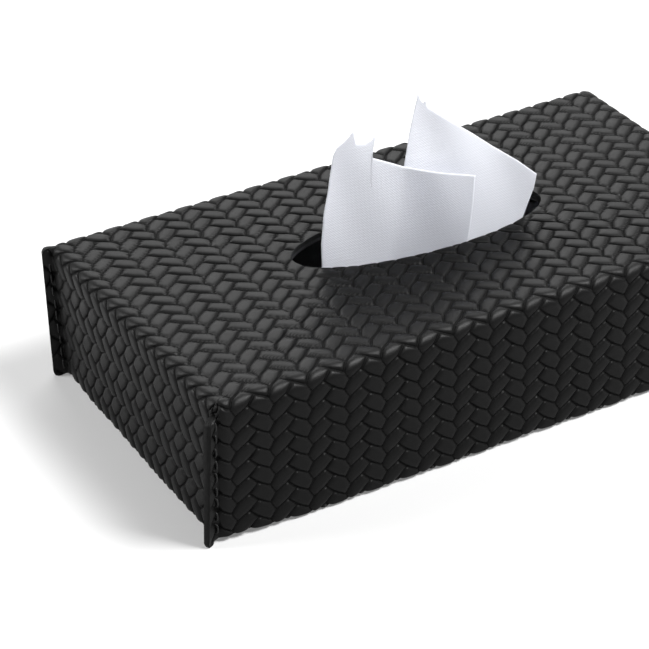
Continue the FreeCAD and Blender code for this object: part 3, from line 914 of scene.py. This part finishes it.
def settings(name):
    return getattr(bpy.context.scene, "tissue_box_" + name)


def leather_material():
    cover = settings("cover")
    return finish(woven_leatherette, cover.leather, cover.groove)


def plain_material():
    return finish(plain_leatherette, settings("cover").leather)


def dress_nodes(material, *names):
    """Gives CAD nodes a finish."""
    for name in names:
        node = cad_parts[name]
        node.data.materials.clear()
        node.data.materials.append(material)


def cover_piece(name, raised, blank, share, normals, closed=False, flip=False):
    """A woven piece of the cover. Its first row only serves the normals and isn't built.

    The material reads the relief's share from the points.
    """
    faces = grid_faces(raised.shape[0] - 1, raised.shape[1], closed, flip)
    piece = mesh_piece(name, raised[1:], faces, blank[1:], normals[1:])
    layer = piece.data.attributes.new("weave_share", "FLOAT", "POINT")
    layer.data.foreach_set("value", share[1:].ravel())
    finish_piece(piece, leather_material(), "box", ["outer_cover"])


# For each wall, its side, how far its lower edge is lifted beside its two corners, how far it
# bulges and where its two flanges end.
WALLS = {
    "front": {"long_wall": True, "side": -1, "lifts": (0.8, 0.6), "bow": 0.3,
              "tops": (FLANGE_TOP, FLANGE_TOP)},
    "right": {"long_wall": False, "side": 1, "lifts": (0.3, 0.6), "bow": 0.5,
              "tops": (FLANGE_TOP, FLANGE_TOP)},
    "back": {"long_wall": True, "side": 1, "lifts": (0.6, 0.6), "bow": 0.4,
             "tops": (HIGH_FLANGE_TOP, FLANGE_TOP)},
    "left": {"long_wall": False, "side": -1, "lifts": (0.0, 0.6), "bow": 0.5,
             "tops": (FLANGE_TOP, HIGH_FLANGE_TOP)},
}


class TISSUEBOX_OT_cover(bpy.types.Operator):
    """Builds the woven cover: the top, four walls, the flange edges and the inside"""
    bl_idname = "tissue_box.cover"
    bl_label = "Cover"

    def execute(self, context):
        walls = [wall_surface(**kind) for kind in WALLS.values()]
        for name, wall in zip(WALLS, walls):
            _, blank, share, flip = wall
            raised = emboss(*wall)
            normals = grid_normals(raised, flip)
            cover_piece("cover_" + name, raised, blank, share, normals, flip=flip)
        self.top(walls)
        self.seams(walls)
        return {"FINISHED"}

    def top(self, walls):
        points, blank, share = top_surface(walls)
        raised = emboss(points, blank, share, False)
        rim = cut_edge(raised[-1])
        raised = np.concatenate([raised, rim])
        blank = np.concatenate([blank, np.repeat(blank[-1:], len(rim), 0)])
        share = np.concatenate([share, np.zeros(rim.shape[:2])])
        normals = grid_normals(raised, False)
        normals[:, 0] = normals[:, 1] / 2 + normals[:, -1] / 2
        cover_piece("cover_top", raised, blank, share, normals, closed=True)

    def seams(self, walls):
        paint = finish(edge_paint, settings("cover").paint)
        front, right, back, left = (wall[0] for wall in walls)
        tips = {"front_left": (front[:, 0], left[:, 0]),
                "front_right": (right[:, 0], front[:, -1]),
                "back_right": (back[:, -1], right[:, -1]),
                "back_left": (left[:, -1], back[:, 0])}
        for name, (first, second) in tips.items():
            piece = grid_piece(f"{name}_flange_edge", *edge_strip(first, second))
            finish_piece(piece, paint, "box", ["outer_cover"])
        piece = grid_piece("cover_inside", inner_face(), closed=True, flip=True)
        finish_piece(piece, plain_material(), "box", ["outer_cover"])


def vary(most, angle, i):
    """The difference of stitch i, which looks random from one stitch to the next."""
    return most * math.sin(angle * i)


class TISSUEBOX_OT_stitches(bpy.types.Operator):
    """Sews the stitches through the four flanges"""
    bl_idname = "tissue_box.stitches"
    bl_label = "Stitches"

    def execute(self, context):
        thread = finish(seam_thread, settings("cover").thread)
        plain = stitch_ring(STITCH_LENGTH)
        rows, columns = plain.shape[:2]
        blank = np.tile(plain[..., 1:].reshape(-1, 2), (STITCHES, 1))
        loop = grid_faces(rows + 1, columns, closed=True) % (rows * columns)
        faces = np.concatenate([loop + i * rows * columns for i in range(STITCHES)])
        for name, sides in CORNERS.items():
            points = np.concatenate([self.ring(sides, i).reshape(-1, 3)
                                     for i in range(STITCHES)])
            turned = faces[:, ::-1] if sides[0] * sides[1] < 0 else faces
            piece = mesh_piece(f"{name}_thread", points, turned, blank)
            finish_piece(piece, thread, "box", [f"{name}_stitching"])
        return {"FINISHED"}

    def ring(self, sides, i):
        """One stitch in its place, with a slight length and shift of its own."""
        ring = stitch_ring(STITCH_LENGTH + vary(*LENGTH_VARIES, i))
        z = STITCH_START + STITCH_PITCH * i + vary(*HEIGHT_VARIES, i)
        out = ROUND + STITCH_OUT + vary(*PLACE_VARIES, i) + ring[..., 0]
        cos, sin = math.cos(END_TURN), math.sin(END_TURN)
        x = HALF_LENGTH - ROUND + out * cos - ring[..., 1] * sin
        y = HALF_WIDTH - ROUND + out * sin + ring[..., 1] * cos
        return settle(np.stack([x * sides[0], y * sides[1], ring[..., 2] + z], -1))


class TISSUEBOX_OT_linings(bpy.types.Operator):
    """Finishes the boards, the linings, the flap's layers and the magnets"""
    bl_idname = "tissue_box.linings"
    bl_label = "Boards, linings and flap"

    def execute(self, context):
        cover = settings("cover")
        board = finish(grey_board, cover.board)
        cloth = finish(lining_cloth, cover.lining)
        steel = finish(plated_steel, cover.magnet)
        dress_nodes(board, "top_board")
        dress_nodes(cloth, "top_lining")
        dress_nodes(plain_material(), "pull_tab", "magnet_tabs")
        dress_nodes(steel, "tab_magnets", "flap_magnets")
        for wall in ("front", "back", "left", "right"):
            self.layer(wall + "_board", SKIN, "board", "box", board)
            self.layer(wall + "_lining", WALL - LINING, "lining", "box", cloth)
        self.layer("flap_cover", 0, "flap_leather", "flap", plain_material())
        self.layer("flap_board", 0, "board", "flap", board)
        self.layer("flap_lining", 0, "lining", "flap", cloth)
        return {"FINISHED"}

    def layer(self, node, depth, slot, body, material):
        """One flat layer, leaning with the soft walls. Depth is from the cover's outer face."""
        low, high = box_mm(node)
        side = {"front": -1, "back": 1}.get(node.split("_")[0], 0)
        if side:
            thick = LINING if node.endswith("lining") else BOARD
            faces = sorted(side * (HALF_WIDTH - depth - step) for step in (0, thick))
            low[1], high[1] = faces
        points, flip = panel(low, high, FLAP_ROUND if body == "flap" else BOARD_ROUND)
        piece = grid_piece(node + "_sheet", settle(points), closed=True, flip=flip)
        finish_piece(piece, material, body, [node])


HINGE_END = 9.0  # the strip stops short of the corners, where the wall leans in
HINGE_THICK = 0.6
HINGE_TOP = 0.7  # how far in the middle of its upper edge lies
HINGE_STEPS = 60
# Its middle line round the bend, in from the strip's outer face and up from its lower edge.
HINGE_BEND = ((0.3, 3.0), (0.35, 1.0), (0.6, 0.35), (0.95, 0.35), (1.25, 1.0), (1.3, 2.6),
              (1.6, 3.25), (2.4, 3.3))


class TISSUEBOX_OT_hinge(bpy.types.Operator):
    """Lays the hinge strip down the back wall, round the flap's edge and onto the flap"""
    bl_idname = "tissue_box.hinge"
    bl_label = "Hinge strip"

    def execute(self, context):
        low, high = box_mm("hinge_strip")
        bend = [(high[1] - inward, low[2] + up) for inward, up in HINGE_BEND]
        path = np.array([(high[1] - HINGE_TOP, high[2]), *bend, (low[1], bend[-1][1])])
        run = np.linspace(0, 1, len(path))
        fine = np.linspace(0, 1, HINGE_STEPS)
        line = np.stack([np.interp(fine, run, path[:, i]) for i in (0, 1)], -1)
        ahead = np.gradient(line, axis=0)
        side = np.stack([-ahead[:, 1], ahead[:, 0]], -1)
        side /= np.linalg.norm(side, axis=-1, keepdims=True)
        side *= HINGE_THICK / 2
        ring = np.concatenate([line + side, (line - side)[::-1]])
        x = np.linspace(low[0] + HINGE_END, high[0] - HINGE_END, HINGE_STEPS)
        ends = np.r_[x[0], x, x[-1]]
        points = np.stack([np.c_[np.full(len(ring), at), ring] for at in ends])
        middle = np.concatenate([line, line[::-1]])
        points[0, :, 1:], points[-1, :, 1:] = middle, middle
        piece = grid_piece("hinge_leather", points, closed=True, flip=True)
        piece.data.materials.append(plain_material())
        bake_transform(piece)
        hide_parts("hinge_strip")
        return {"FINISHED"}


LEAF_THICK = 0.25
LEAF_ROWS = 90
LEAF_COLUMNS = 110
LEAF_STILL = 50  # height up to which the leaves don't wave
LEAF_GROWTH = 60  # height over which their waves grow
LONG_WAVE = 0.9
LONG_SPREAD = 9
SHORT_WAVE = 0.5
SHORT_SPREAD = 4.3
SHORT_SLANT = 13  # height over which the short wave shifts by as much as over its spread
# Each leaf stands on a plane through its start, turned about the upright. Edges are given
# as (along, height) from the foot to the top on the left and right, and along the top.
LEAVES = {
    "tissue_front_sheet": {
        "start": (-45.5, -2.7), "turn": math.radians(-11.5), "wave": 1.0,
        "left": [(2.5, 24), (0.6, 45), (-0.4, 66), (0.4, 79), (1.9, 87), (3.2, 97.4),
                 (3.8, 102.4), (5.1, 105.4)],
        "right": [(53, 24), (57, 45), (59.2, 60), (60.2, 72), (60.6, 84)],
        "top": [(5.1, 105.4), (8.9, 108.4), (11.5, 111.6), (11.9, 109.1), (12.6, 105.9),
                (16.3, 105.3), (18.6, 106.2), (20.3, 107.6), (19.8, 104.8), (19.1, 102.2),
                (19.2, 98.9), (31.1, 93.4), (46, 88.6), (60.6, 84)],
    },
    "tissue_back_sheet": {
        "start": (-17.0, -5.2), "turn": math.radians(-4.5), "wave": -1.2,
        "left": [(0.5, 24), (1.0, 57), (2.6, 75), (4.3, 91), (6.1, 104.7), (9, 118.4),
                 (9.2, 121)],
        "right": [(50, 24), (54, 45), (58.6, 57.8), (61.9, 68), (62.6, 74)],
        "top": [(9.2, 121), (10, 118.6), (11.7, 116.2), (12.5, 117.6), (12.7, 115.1),
                (13.9, 113.7), (21.7, 107.4), (31.9, 99.4), (43.2, 89.9), (54, 81.6),
                (62.6, 74)],
    },
}


class TISSUEBOX_OT_tissue(bpy.types.Operator):
    """Folds the tissue that stands in the slot and the stack under it"""
    bl_idname = "tissue_box.tissue"
    bl_label = "Tissues"

    def execute(self, context):
        paper = finish(tissue_paper, settings("tissue").paper)
        for name, leaf in LEAVES.items():
            piece = grid_piece(name, *leaf_surface(**leaf))
            solid = piece.modifiers.new("Thickness", "SOLIDIFY")
            solid.thickness = LEAF_THICK * MM
            solid.offset = 0.0
            finish_piece(piece, paper, "tissue", [name.replace("sheet", "leaf")])
        piece = grid_piece("folded_tissues", *stack_surface(), closed=True)
        finish_piece(piece, paper, "flap", ["tissue_stack"])
        return {"FINISHED"}


def along_line(points, share):
    """Points at shares of the length of a broken line."""
    points = np.array(points, dtype=float)
    length = np.r_[0, np.cumsum(np.linalg.norm(np.diff(points, axis=0), axis=-1))]
    share = share * length[-1]
    return np.stack([np.interp(share, length, points[:, i]) for i in (0, 1)], -1)


def leaf_surface(start, turn, wave, left, right, top):
    """A leaf between its four edges, each point as in a Coons patch, with soft waves."""
    v = np.linspace(0, 1, LEAF_ROWS)[:, None, None]
    u = np.linspace(0, 1, LEAF_COLUMNS)[None, :, None]
    foot = along_line([left[0], right[0]], u[0, :, 0])[None]
    head = along_line(top, u[0, :, 0])[None]
    near = along_line(left, v[:, 0, 0])[:, None]
    far = along_line(right, v[:, 0, 0])[:, None]
    corners = ((1 - u) * (1 - v) * foot[:, :1] + u * (1 - v) * foot[:, -1:]
               + (1 - u) * v * head[:, :1] + u * v * head[:, -1:])
    flat = (1 - v) * foot + v * head + (1 - u) * near + u * far - corners
    s, z = flat[..., 0], flat[..., 1]
    lift = np.clip((z - LEAF_STILL) / LEAF_GROWTH, 0, 1)
    long_wave = LONG_WAVE * np.sin(s / LONG_SPREAD)
    short_wave = SHORT_WAVE * np.sin(s / SHORT_SPREAD + z / SHORT_SLANT)
    out = wave * (long_wave * lift + short_wave * lift)
    cos, sin = math.cos(turn), math.sin(turn)
    points = np.stack([start[0] + s * cos - out * sin, start[1] + s * sin + out * cos, z], -1)
    return points, flat


STACK_FOLDS = 22
STACK_INSET = 0.9  # from the node's sides in to the folds' edges
STACK_ROUND = 3.0  # radius of the stack's corners
STACK_EAVES = 0.6  # how far the top's rim lies below the node's top
STACK_CORE = 1  # half width of the outline in the middle of the top and the underside
STACK_LEAST = 0.5  # and the least that any outline has
ALONG_SWELL = 0.0025  # share by which an outline swells and shrinks along its length
ALONG_SPREAD = 17
ACROSS_SWELL = 0.0015
ACROSS_SPREAD = 11
FOLD_DEPTH = 0.5  # depth of the hollow between two folds
FOLD_SHIFT = 0.21  # how far a fold lies out of line
SHIFT_START = 0.7
SHIFT_ANGLE = 9.1  # from one fold's shift to the next
TOP_EASE = 0.07  # share of the height over which the upper edge is eased, by 1 mm
FOOT_EASE = 0.05
FOOT_INSET = 0.8  # how far the lower edge is eased
FOOT_GAP = 0.02  # between the stack's underside and the node's
UNDER_INSET = 20.0
TOP_INSETS = (3.0, 12.0, 30.0)  # outlines that close the top
TOP_RISES = (0.2, 0.4, 0.5, 0.55)  # and their heights over its rim, up to the middle
FOLD_RUN = 1.2  # length on the blank from one point of an outline to the next


def stack_insets(level):
    """How far in the stack's sides lie: out at every fold's edge, and eased at both ends."""
    fold_edge = np.abs(np.sin(math.pi * STACK_FOLDS * level)) ** 0.5
    shift = FOLD_SHIFT * np.sin(SHIFT_ANGLE * np.floor(STACK_FOLDS * level) + SHIFT_START)
    top = np.clip(level - (1 - TOP_EASE), 0, 1) / TOP_EASE
    foot = FOOT_INSET * np.clip(FOOT_EASE - level, 0, 1) / FOOT_EASE
    return STACK_INSET + FOLD_DEPTH * (1 - fold_edge) + shift + top + foot


def stack_outline(half, inset, height):
    """A round-cornered rectangle, a little out of true by an amount that turns with height."""
    reach = np.maximum(half - inset, STACK_LEAST)
    loop = rounded_loop(reach, min(STACK_ROUND, reach.min()), PANEL_STEPS)
    along = ALONG_SWELL * np.sin(loop[:, :1] / ALONG_SPREAD + height)
    across = ACROSS_SWELL * np.sin(loop[:, 1:] / ACROSS_SPREAD - height)
    return loop * (1 - along - across)


def stack_surface():
    """The folded tissues: a soft block whose sides show the edge of every fold.

    Each level is an outline, in and out with the folds' edges; the top sinks a little towards
    its rim.
    """
    low, high = box_mm("tissue_stack")
    middle, half = (low + high) / 2, (high - low) / 2
    level = np.linspace(0, 1, STACK_FOLDS * 4 + 1)
    sides = stack_insets(level)
    centre = half[1] - STACK_CORE
    insets = np.r_[centre, UNDER_INSET, sides, sides[-1] + np.r_[TOP_INSETS, centre]]
    foot = low[2] + FOOT_GAP
    z = low[2] + level * (high[2] - low[2] - STACK_EAVES)
    z = np.r_[foot, foot, z, z[-1] + np.array(TOP_RISES)]
    plan = middle[:2] + np.stack([stack_outline(half[:2], inset, height)
                                  for inset, height in zip(insets, z)])
    points = np.concatenate([plan, np.repeat(z[:, None, None], plan.shape[1], 1)], 2)
    along = np.arange(points.shape[1])[None, :] * FOLD_RUN + 0 * points[..., 2]
    return points, np.stack([along, points[..., 2]], -1)


# Azimuth and elevation in degrees, distance and size in metres.
LIGHTS = {"key": (152, 27, 1.3, 0.6), "overhead": (-41, 56, 1.4, 0.6), "back": (64, 41, 1.5, 1.2)}
LENS = 143.7  # on a sensor 36 mm wide
CAMERA_PLACE = (-482.2, -694.7, 558.3)
CAMERA_BACK = (-0.4498, -0.7102, 0.5416)
CAMERA_UP = (0.2752, 0.4667, 0.8405)
FLOOR_HALF = 3000.0
FLOOR_LEVEL = -0.05  # a little under the feet


class TISSUEBOX_OT_stage(bpy.types.Operator):
    """Sets the floor, the lights, the background and the camera"""
    bl_idname = "tissue_box.stage"
    bl_label = "Stage"

    def execute(self, context):
        stage = settings("stage")
        corners = [[[x, y, FLOOR_LEVEL] for x in (-FLOOR_HALF, FLOOR_HALF)]
                   for y in (-FLOOR_HALF, FLOOR_HALF)]
        floor = grid_piece("floor", np.array(corners), flip=True)
        floor.data.materials.append(finish(pale_floor, stage.floor))
        for name, place in LIGHTS.items():
            self.light(name + "_light", *place, getattr(stage, name))
        self.sky(stage.sky)
        self.camera()
        context.scene.view_settings.view_transform = "Standard"
        return {"FINISHED"}

    def light(self, name, azimuth, elevation, distance, size, power):
        """A square soft light that faces the box."""
        data = bpy.data.lights.new(name, "AREA")
        data.energy = power
        data.size = size
        light = bpy.data.objects.new(name, data)
        a, e = math.radians(azimuth), math.radians(elevation)
        away = Vector((math.cos(a) * math.cos(e), math.sin(a) * math.cos(e), math.sin(e)))
        light.location = Vector((0, 0, HEIGHT * MM)) + away * distance
        light.rotation_euler = away.to_track_quat("Z", "Y").to_euler()
        bpy.context.scene.collection.objects.link(light)

    def sky(self, strength):
        world = bpy.data.worlds.new("studio")
        bpy.context.scene.world = world
        world.use_nodes = True
        g = Graph(world.node_tree)
        white = (1.0, 1.0, 1.0, 1.0)
        soft = g.node("Background", inputs={"Color": white, "Strength": strength})
        plain = g.node("Background", inputs={"Color": white, "Strength": 1.0})
        g.node("OutputWorld", inputs={"Surface": g.mix_shader(g.seen(), soft, plain)})

    def camera(self):
        back = Vector(CAMERA_BACK).normalized()
        right = Vector(CAMERA_UP).cross(back).normalized()
        axes = Matrix((right, back.cross(right), back)).transposed()
        data = bpy.data.cameras.new("camera")
        data.lens = LENS
        data.sensor_width = 36.0
        data.sensor_fit = "HORIZONTAL"
        data.clip_end = 20.0
        camera = bpy.data.objects.new("camera", data)
        camera.matrix_world = Matrix.Translation(Vector(CAMERA_PLACE) * MM) @ axes.to_4x4()
        bpy.context.scene.collection.objects.link(camera)
        bpy.context.scene.camera = camera


OPERATORS = (TISSUEBOX_OT_cover, TISSUEBOX_OT_stitches, TISSUEBOX_OT_linings,
             TISSUEBOX_OT_hinge, TISSUEBOX_OT_tissue, TISSUEBOX_OT_stage)
SETTINGS = {"cover": CoverSettings, "tissue": TissueSettings, "stage": StageSettings}


class TISSUEBOX_PT_panel(bpy.types.Panel):
    """Lists the steps and the settings"""
    bl_idname = "TISSUEBOX_PT_panel"
    bl_label = "Tissue Box"
    bl_space_type = "VIEW_3D"
    bl_region_type = "UI"
    bl_category = "Tissue Box"

    def draw(self, context):
        for operator in OPERATORS:
            self.layout.operator(operator.bl_idname)
        for name, group in SETTINGS.items():
            box = self.layout.box()
            for key in group.__annotations__:
                box.prop(settings(name), key)


def register():
    for part in (*SETTINGS.values(), *OPERATORS, TISSUEBOX_PT_panel):
        bpy.utils.register_class(part)
    for name, group in SETTINGS.items():
        setattr(bpy.types.Scene, "tissue_box_" + name, bpy.props.PointerProperty(type=group))


def unregister():
    for name in SETTINGS:
        delattr(bpy.types.Scene, "tissue_box_" + name)
    for part in (TISSUEBOX_PT_panel, *OPERATORS, *SETTINGS.values()):
        bpy.utils.unregister_class(part)


def main():
    """Builds everything in order."""
    register()
    for operator in OPERATORS:
        group, step = operator.bl_idname.split(".")
        getattr(getattr(bpy.ops, group), step)()


if __name__ == "__main__":
    main()
